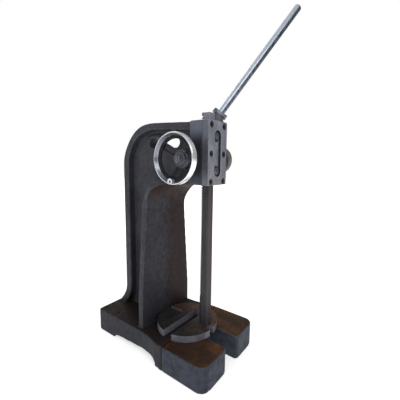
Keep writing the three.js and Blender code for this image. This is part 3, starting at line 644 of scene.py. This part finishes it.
M_CAST, M_HEAD, M_RAM = casting_paint(), head_paint(), ram_steel()
M_DARK = dark_steel("dark_steel", rgb(112, 112, 120), rgb(84, 82, 88), rgb(88, 78, 76), vertical=False)
M_POL, M_ZINC, M_BLACK = polished(), zinc(), black_parts()
M_LEVER = lever_finish()
M_WHEEL, M_HOUS, M_PLATE, M_BRZ = wheel_paint(), housing_paint(), plate_steel(), bronze()
M_COLLAR = dark_steel("collar_steel", rgb(122, 125, 136), rgb(92, 94, 105), rgb(84, 82, 88), vertical=False, r0=0.38, r1=0.54)
M_HUB = dark_steel("hub_steel", rgb(158, 160, 172), rgb(112, 114, 126), rgb(92, 90, 98), vertical=False, r0=0.3, r1=0.46)
M_NUTS = dark_steel("adjuster_steel", rgb(112, 114, 124), rgb(84, 84, 93), rgb(64, 60, 62), vertical=False, r0=0.38, r1=0.55, wear=0.5)

SLOT_MATERIAL = {
    "casting_paint": M_CAST, "head_paint": M_HEAD, "dark_steel": M_DARK, "polished_steel": M_POL,
    "zinc_steel": M_ZINC, "black_screws": M_BLACK, "plate_steel": M_PLATE, "bronze": M_BRZ,
}
SLOT_OF = {
    "frame_casting": "casting_paint", "lever_housing": "casting_paint", "head_cap": "head_paint",
    "ram_rack": "dark_steel", "pinion_shaft": "dark_steel", "ratchet_spacer": "dark_steel",
    "ratchet_wheel": "dark_steel", "socket_collar": "dark_steel", "handwheel": "polished_steel",
    "handwheel_washer": "zinc_steel", "handwheel_nut": "zinc_steel", "lever_bar": "zinc_steel",
    "lever_washer": "zinc_steel", "lever_nut": "zinc_steel", "pawl_plunger": "zinc_steel",
    "table_plate": "plate_steel", "ram_gib": "bronze", "pinion_bush_left": "bronze", "pinion_bush_right": "bronze",
}
for name, o in nodes.items():
    finish = SLOT_MATERIAL[SLOT_OF.get(name, "black_screws")]
    if len(o.data.materials):
        for k in range(len(o.data.materials)):
            o.data.materials[k] = finish
    else:
        o.data.materials.append(finish)


# ------------------------------------------------------------------ frame casting
def fbm(p, scale, octaves, seed):
    v, amp, tot = 0.0, 1.0, 0.0
    q = Vector((p[0] * scale + seed, p[1] * scale - seed, p[2] * scale + 2 * seed))
    for _ in range(octaves):
        v += amp * noise.noise(q)
        tot += amp
        amp *= 0.5
        q = q * 2.03
    return v / tot


cast = cad_copy("frame_casting", "frame_casting_skin", dissolve=False)
remeshed(cast, 3.4, 5)
co, no = coords(cast.data), normals(cast.data)
lo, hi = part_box("frame_casting")
d = np.zeros(len(co))
front = (no[:, 1] < -0.8) & (co[:, 1] > 0.145) & (co[:, 1] < 0.17) & (co[:, 2] < 0.67)
for i in range(len(co)):
    p = co[i]
    d[i] = 0.00028 * fbm(p, 30.0, 3, 3.1)
    if front[i]:
        # rough, patched front wall of the column
        side_x = 1.0 / (1.0 + math.exp((p[0] - 0.0) / 0.02))
        r = abs(fbm(p, 26.0, 4, 9.7))
        d[i] += side_x * 0.0022 * max(0.0, 0.16 - r) / 0.16 * min(1.0, (p[2] - 0.11) / 0.1)
    if (abs(p[0]) < 0.07 and p[2] > 0.764 and p[1] < -0.02) or p[2] < 0.002:
        d[i] *= 0.15
co = co + no * d[:, None]
co = np.clip(co, np.array(lo), np.array(hi))
put(cast.data, co)
dress(cast, M_CAST, "frame", ["frame_casting"])

# ------------------------------------------------------------------ head cap
HW, HT, AZ = 67.35, 1021.4, 766.0
cap = prism("head_cap_plate", arc(HW - 8, HT - 8, 8, 0, 90, 8) + arc(-HW + 8, HT - 8, 8, 90, 180, 8)
            + arc(-HW + 3, AZ + 3, 3, 180, 270, 5) + arc(HW - 3, AZ + 3, 3, 270, 360, 5), "Y", -48.9, -19.5)
boolean(cap, prism("c", arc(0, 962, 22, 0, 180, 28) + arc(0, 822, 22, 180, 360, 28), "Y", -55, -38.9))
boolean(cap, prism("c", [(-18.3, 775), (18.3, 775), (18.3, 1012), (-18.3, 1012)], "Y", -28, 0))
for z in (962, 822):
    boolean(cap, prism("c", arc(0, z, 8.3, 0, 360 - 360 / 32, 31), "Y", -60, 0))
for z in (1002.6, 891.1, 780.6):
    for x in (-44.8, 44.8):
        boolean(cap, prism("c", arc(x, z, 12.8, 0, 360 - 360 / 40, 39), "Y", -60, -34))
        boolean(cap, prism("c", arc(x, z, 6.3, 0, 360 - 360 / 28, 27), "Y", -60, 0))
bevelled(cap, 0.9, 3)
dress(cap, M_HEAD, "frame", ["head_cap"])


# ------------------------------------------------------------------ screws and nuts
def hexagon(cx, cz, af, rot=0.0):
    return [(cx + af / math.sqrt(3) * math.cos(math.radians(rot + 60 * k)),
             cz + af / math.sqrt(3) * math.sin(math.radians(rot + 60 * k))) for k in range(6)]


def socket_screw(name, base, direction, r, head, length, shank, af, depth, spin=0.0):
    """Socket head screw whose head's seat is at base, pointing its head along direction."""
    d = Vector(direction).normalized()
    o = lathe(name, [(0, -length), (shank - 0.8, -length), (shank, -length + 1), (shank, 0.0), (r - 0.25, 0.0), (r, 0.3), (r, head - 1.0),
                     (r - 0.3, head - 0.4), (r - 1.0, head), (0, head)], base, d, 56)
    # fine knurl round the head
    me = o.data
    co = coords(me)
    rel = co - np.array(base)
    h = rel @ np.array(d)
    s = np.array(d.orthogonal().normalized())
    t = np.cross(np.array(d), s)
    u, v = rel @ s, rel @ t
    rad = np.hypot(u, v)
    ang = np.arctan2(v, u)
    on = (rad > (r - 0.3) / 1000) & (h > 0.0002) & (h < (head - 0.6) / 1000)
    k = 1 - 0.03 * (np.round(ang / (2 * np.pi) * 56).astype(int) % 2)
    scale = np.where(on, k, 1.0)
    co = co + ((scale - 1) * u)[:, None] * s + ((scale - 1) * v)[:, None] * t
    put(me, co)
    s2, t2 = Vector(s), Vector(t)
    pts = [(math.cos(math.radians(spin + 60 * i)) * af / math.sqrt(3) / 1000, math.sin(math.radians(spin + 60 * i)) * af / math.sqrt(3) / 1000) for i in range(6)]
    bottom = Vector(base) + d * ((head - depth) / 1000)
    upper = Vector(base) + d * ((head + 3) / 1000)
    verts = [bottom + s2 * a + t2 * b for a, b in pts] + [upper + s2 * a + t2 * b for a, b in pts]
    faces = [[5, 4, 3, 2, 1, 0], [6, 7, 8, 9, 10, 11]] + [[i, (i + 1) % 6, 6 + (i + 1) % 6, 6 + i] for i in range(6)]
    boolean(o, mesh_object("c", verts, faces))
    return smooth(o, 28)


n = 0
for z in (1002.6, 891.1, 780.6):
    for s in (-1, 1):
        n += 1
        o = socket_screw(f"cap_screw_{n}_detail", P(s * 44.8, -34.3, z), (0, -1, 0), 11.8, 12.2, 42, 6, 11, 7, spin=17 * n)
        dress(o, M_BLACK, "frame", [f"cap_screw_{n}"])


def nut(name, base, direction, af, thick, hole, spin=0.0, slot_r=0.35):
    """Hexagon nut with chamfered corners; base is the seat, direction points outwards."""
    d = Vector(direction).normalized()
    s = d.orthogonal().normalized()
    t = d.cross(s)
    R = af / math.sqrt(3)
    pts = [(math.cos(math.radians(spin + 60 * i)) * R / 1000, math.sin(math.radians(spin + 60 * i)) * R / 1000) for i in range(6)]
    b0, b1 = Vector(base), Vector(base) + d * (thick / 1000)
    verts = [b0 + s * a + t * b for a, b in pts] + [b1 + s * a + t * b for a, b in pts]
    faces = [[5, 4, 3, 2, 1, 0], [6, 7, 8, 9, 10, 11]] + [[i, (i + 1) % 6, 6 + (i + 1) % 6, 6 + i] for i in range(6)]
    o = mesh_object(name, verts, faces)
    c = (R - af / 2) * 0.6
    boolean(o, lathe("c", [(0, -0.1), (af / 2 - 0.4, -0.1), (R + 0.2, c), (R + 0.2, thick - c), (af / 2 - 0.4, thick + 0.1), (0, thick + 0.1)], base, d, 64), "INTERSECT")
    boolean(o, lathe("c", [(0, -2), (hole, -2), (hole, thick + 2), (0, thick + 2)], base, d, 40))
    return bevelled(o, slot_r, 2, 28)


def stud(name, base, direction, r, length, pitch=1.5, dome=0.8, depth=0.6):
    """A threaded end, with its rings of thread cut in the surface."""
    prof = [(0, 0), (r - depth, 0)]
    h = pitch * 0.4
    while h < length - 2.2:
        prof += [(r, h), (r - depth, h + pitch / 2)]
        h += pitch
    prof += [(r - depth, length - 1.6), (r - depth - 0.8, length - dome), (r * 0.4, length - 0.15), (0, length)]
    return smooth(lathe(name, prof, base, direction, 40), 50)


for side, z, spin in (("upper", 962, 12), ("lower", 822, 40)):
    o = nut(f"gib_locknut_{side}_detail", P(0, -39.3, z), (0, -1, 0), 28, 6.4, 8.4, spin)
    dress(o, M_NUTS, "frame", [f"gib_locknut_{side}"])
    o = stud(f"gib_screw_{side}_detail", P(0, -28.0, z), (0, -1, 0), 8, 19.3, 1.5)
    a = math.radians(30 if side == "upper" else -55)
    c, q = math.cos(a), math.sin(a)
    pts = [(c * u - q * v, z + q * u + c * v) for u, v in [(-10, -1.3), (10, -1.3), (10, 1.3), (-10, 1.3)]]
    boolean(o, prism("c", pts, "Y", -52, -44.4))
    smooth(o, 40)
    dress(o, M_NUTS, "frame", [f"gib_screw_{side}"])

# ------------------------------------------------------------------ ram
ram = cad_copy("ram_rack", "ram_rack_detail", dissolve=False)
smooth(ram, 25)
dress(ram, M_RAM, "ram", ["ram_rack"])

# ------------------------------------------------------------------ handwheel
axis_at = P(0, PIN_Y, PIN_Z)
rim = lathe("handwheel_rim", [
    (86.6, -157.6), (87.4, -158.6), (92.6, -170.2), (93.4, -171.4), (94.6, -172), (95.8, -171.8), (98, -169.6), (99.1, -166.8), (99.5, -163),
    (99.5, -151), (99.2, -148.6), (98, -146.2), (96, -144.6), (94, -144), (92, -144.4), (89.4, -147.4), (86.6, -149),
], axis_at, (1, 0, 0), 160, closed=True)
smooth(rim, 40)
dress(rim, M_POL, "pinion", ["handwheel"])


def spoke(name, deg):
    a = math.radians(deg)
    radial = Vector((0, math.cos(a), math.sin(a)))
    across = Vector((0, -math.sin(a), math.cos(a)))
    ax = Vector((1, 0, 0))
    rows = []
    steps = 18
    for k in range(steps + 1):
        t = k / steps
        r = 24 + 56 * t
        x = -113 - 39.0 * (t ** 1.02)
        w = 16.3 - 0.8 * math.sin(math.pi * t)
        lip, deep, body = 4.6, 7.2, 6.0
        sec = [(-w, body), (-w, -body), (-w + lip, -body), (-w + lip + 1.0, -body + deep),
               (w - lip - 1.0, -body + deep), (w - lip, -body), (w, -body), (w, body)]
        rows.append([axis_at + radial * (r / 1000) + across * (v / 1000) + ax * ((x + h) / 1000) for v, h in sec])
    m = len(rows[0])
    verts = [p for row in rows for p in row]
    faces = [[k * m + j, k * m + (j + 1) % m, (k + 1) * m + (j + 1) % m, (k + 1) * m + j] for k in range(steps) for j in range(m)]
    faces += [list(range(m))[::-1], [steps * m + j for j in range(m)]]
    return mesh_object(name, verts, faces)


parts = [spoke("s", a) for a in (38, 158, 278)]
parts.append(lathe("h", [(0, -131.4), (25, -131.4), (27, -129.4), (27, -122), (34, -122), (36, -120), (36, -108), (30, -99.2), (0, -99.2)], axis_at, (1, 0, 0), 96))
parts.append(lathe("r", [(87.3, -157.6), (75.6, -157.6), (74.2, -156.2), (74.2, -149.6), (75.6, -148.2), (87.3, -148.6)], axis_at, (1, 0, 0), 144, closed=True))
cast_wheel = merge("handwheel_casting", parts)
remeshed(cast_wheel, 1.25, 3)
boolean(cast_wheel, lathe("c", [(0, -140), (12.3, -140), (12.3, -90), (0, -90)], axis_at, (1, 0, 0), 40))
cast_wheel.data.polygons.foreach_set("use_smooth", [True] * len(cast_wheel.data.polygons))
cast_wheel.data.set_sharp_from_angle(angle=math.radians(55))
dress(cast_wheel, M_WHEEL, "pinion")
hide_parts("handwheel")
la = math.radians(-83)
lug_at = P(0, PIN_Y + 86.5 * math.cos(la), PIN_Z + 86.5 * math.sin(la))
lug = lathe("handwheel_handle_lug", [(4.6, -172.4), (5.4, -173.3), (10.9, -173.4), (11.8, -172.6), (12, -171.6), (12, -145.9), (11.3, -145.1), (4.6, -145.1)],
            lug_at, (1, 0, 0), 56, closed=True)
smooth(lug, 35)
dress(lug, M_POL, "pinion")

o = lathe("handwheel_washer_detail", [(9.3, -134.4), (9.7, -134.8), (16.5, -134.8), (17, -134.3), (17, -132.3), (16.5, -131.8), (9.3, -131.8)], axis_at, (1, 0, 0), 56, closed=True)
smooth(o, 30)
dress(o, M_HUB, "pinion", ["handwheel_washer"])
o = nut("handwheel_nut_detail", P(-135.1, PIN_Y, PIN_Z), (-1, 0, 0), 26, 10.6, 9.3, 20)
dress(o, M_HUB, "pinion", ["handwheel_nut"])
# ------------------------------------------------------------------ lever side
U = Vector((0.445, -0.39, 0.806)).normalized()
COL = P(158, 47.9, 1078.8)
eL = Vector((0.449, -0.739, -0.507))
eL = (eL - U * eL.dot(U)).normalized()
eS = U.cross(eL)
hous = cad_copy("lever_housing", "lever_housing_skin", dissolve=False)
remeshed(hous, 1.5, 3)
dress(hous, M_HOUS, "lever", ["lever_housing"])
bar = lathe("lever_bar_detail", [(0, -55), (14.6, -55), (16.6, -53)] + [(16.6, -53 + 677 * k / 60 - 3 * (k == 60)) for k in range(1, 61)]
            + [(16.2, 621.7), (15.2, 622.9), (13.9, 623.5), (13.3, 623.4), (0, 623.4)], COL, U, 72)
bc, bn = coords(bar.data), normals(bar.data)
for i in range(len(bc)):
    bc[i] -= bn[i] * 0.00012 * max(0.0, fbm(bc[i], 9.0, 2, 5.5))
put(bar.data, bc)
smooth(bar, 30)
dress(bar, M_LEVER, "lever", ["lever_bar"])


def collar_points(r, half, n=22):
    return arc(half - r, 0, r, -90, 90, n) + arc(-half + r, 0, r, 90, 270, n)


pts = collar_points(24, 35)
verts = [COL + eL * (u / 1000) + eS * (v / 1000) + U * (w / 1000) for w in (-8, 7) for u, v in pts]
k = len(pts)
collar = mesh_object("socket_collar_detail", verts, [list(range(k))[::-1], [k + i for i in range(k)]] + [[i, (i + 1) % k, k + (i + 1) % k, k + i] for i in range(k)])
boolean(collar, lathe("c", [(0, -20), (16.9, -20), (16.9, 20), (0, 20)], COL, U, 64))
for s in (-1, 1):
    boolean(collar, lathe("c", [(0, -20), (4.3, -20), (4.3, 20), (0, 20)], COL + eL * (s * 0.0265), U, 32))
bevelled(collar, 1.2, 3)
dress(collar, M_COLLAR, "lever", ["socket_collar"])
for s, name in ((-1, "rear"), (1, "front")):
    o = socket_screw(f"collar_bolt_{name}_detail", COL + eL * (s * 0.0265) + U * 0.0073, U, 7, 5.6, 14.6, 4, 6, 3, spin=20 * s)
    dress(o, M_BLACK, "lever", [f"collar_bolt_{name}"])
o = lathe("lever_washer_detail", [(9.3, 172.8), (9.7, 172.4), (23.4, 172.4), (24, 173), (24, 174.8), (23.4, 175.4), (9.3, 175.4)], axis_at, (1, 0, 0), 64, closed=True)
smooth(o, 30)
dress(o, M_ZINC, "lever", ["lever_washer"])
o = nut("lever_nut_detail", P(175.8, PIN_Y, PIN_Z), (1, 0, 0), 27, 11, 9.3, 10)
dress(o, M_ZINC, "lever", ["lever_nut"])

# pawl plunger with a ribbed pull knob
prof = [(0, 45.5), (6.4, 45.5), (8, 47.5), (8, 97), (11.5, 97), (13.2, 98.2)]
for k in range(7):
    y = 99.4 + 2.0 * k
    prof += [(14, y), (13.2, y + 1.0)]
prof += [(14, 113.4), (13.4, 114.8), (11.5, 115.8), (0, 116)]
o = lathe("pawl_plunger_detail", prof, P(148.5, PIN_Y, PIN_Z), (0, 1, 0), 56)
smooth(o, 34)
dress(o, M_ZINC, "pawl", ["pawl_plunger"])

# ------------------------------------------------------------------ table plate
plate = cad_copy("table_plate", "table_plate_detail")
bevelled(plate, 1.1, 3, 25)
dress(plate, M_PLATE, "table", ["table_plate"])

# ------------------------------------------------------------------ stage, light and camera
floor = mesh_object("floor", [(-14 * math.cos(a), 14 * math.sin(a), 0.0) for a in [2 * math.pi * k / 64 for k in range(64)]], [list(range(64))])
if floor.data.polygons[0].normal.z < 0:
    floor.data.flip_normals()
floor.location.z = -0.0006
fm = Mat("pale_floor", specular=0.1)
fcol = fm.mix(fm.noise(0.6, 3, 0.5), (0.90, 0.90, 0.90, 1), (0.93, 0.93, 0.93, 1))
fx, fy, fz = fm.split(fm.obj)
away = fm.calc("SQRT", fm.calc("ADD", fm.calc("MULTIPLY", fx, fx), fm.calc("MULTIPLY", fy, fy)))
fm.b.inputs["Emission Color"].default_value = (1, 1, 1, 1)
fm.feed(fm.b.inputs["Emission Strength"], fm.span(away, 0.5, 3.0, 0.52, 1.0))
floor.data.materials.append(fm.done(fcol, fm.span(fm.noise(3.0), 0.3, 0.7, 0.7, 0.85)))

w = bpy.data.worlds.new("studio")
scene.world = w
w.use_nodes = True
t = w.node_tree
t.nodes.clear()
out = t.nodes.new("ShaderNodeOutputWorld")
bg = t.nodes.new("ShaderNodeBackground")
tc = t.nodes.new("ShaderNodeTexCoord")
sep = t.nodes.new("ShaderNodeSeparateXYZ")
mr = t.nodes.new("ShaderNodeMapRange")
lp = t.nodes.new("ShaderNodeLightPath")
mx = t.nodes.new("ShaderNodeMix")
mx.data_type = "FLOAT"
t.links.new(tc.outputs["Generated"], sep.inputs[0])
t.links.new(sep.outputs[2], mr.inputs["Value"])
mr.inputs["From Min"].default_value = -0.1
mr.inputs["From Max"].default_value = 0.9
mr.inputs["To Min"].default_value = 0.22
mr.inputs["To Max"].default_value = 0.62
t.links.new(lp.outputs["Is Camera Ray"], mx.inputs[0])
t.links.new(mr.outputs[0], mx.inputs[2])
mx.inputs[3].default_value = 1.0
t.links.new(mx.outputs[0], bg.inputs["Strength"])
bg.inputs["Color"].default_value = (1, 1, 1, 1)
t.links.new(bg.outputs[0], out.inputs[0])


def area(name, at, to, size, power, color=(1, 1, 1), size_y=None):
    L = bpy.data.lights.new(name, "AREA")
    L.shape = "RECTANGLE"
    L.size, L.size_y = size, size_y or size
    L.energy = power
    L.color = color
    o = bpy.data.objects.new(name, L)
    scene.collection.objects.link(o)
    o.location = at
    o.rotation_mode = "QUATERNION"
    o.rotation_quaternion = (Vector(to) - Vector(at)).to_track_quat("-Z", "Y")
    return o


area("key", (-1.6, -2.4, 2.6), (0, 0, 0.6), 1.8, 34, (1.0, 0.99, 0.97))
area("fill", (-2.8, 0.4, 1.9), (0, 0.1, 0.6), 1.6, 15, (0.95, 0.97, 1.0))
area("back", (1.4, 2.4, 2.4), (0, 0.1, 0.7), 1.6, 16, (1.0, 0.98, 0.95))

cam_data = bpy.data.cameras.new("camera")
cam = bpy.data.objects.new("camera", cam_data)
scene.collection.objects.link(cam)
az, el, roll = math.radians(-54.2779857), math.radians(7.73819157), math.radians(0.849730883)
back = Vector((math.sin(az) * math.cos(el), -math.cos(az) * math.cos(el), math.sin(el)))
right0 = (-back).cross(Vector((0, 0, 1))).normalized()
up0 = right0.cross(-back)
R = right0 * math.cos(roll) + up0 * math.sin(roll)
Uv = -right0 * math.sin(roll) + up0 * math.cos(roll)
mat = Matrix((R, Uv, back)).transposed().to_4x4()
mat.translation = P(-920.423797, -648.612266, 854.038033)
cam.matrix_world = mat
cam_data.sensor_width = 36.0
cam_data.lens = 269.27263 / 400.0 * 36.0
cam_data.shift_x = -(204.462927 - 200.0) / 400.0
cam_data.shift_y = (199.790254 - 200.0) / 400.0
cam_data.clip_start, cam_data.clip_end = 0.05, 60
scene.camera = cam
scene.view_settings.view_transform = "Standard"
scene.view_settings.look = "None"
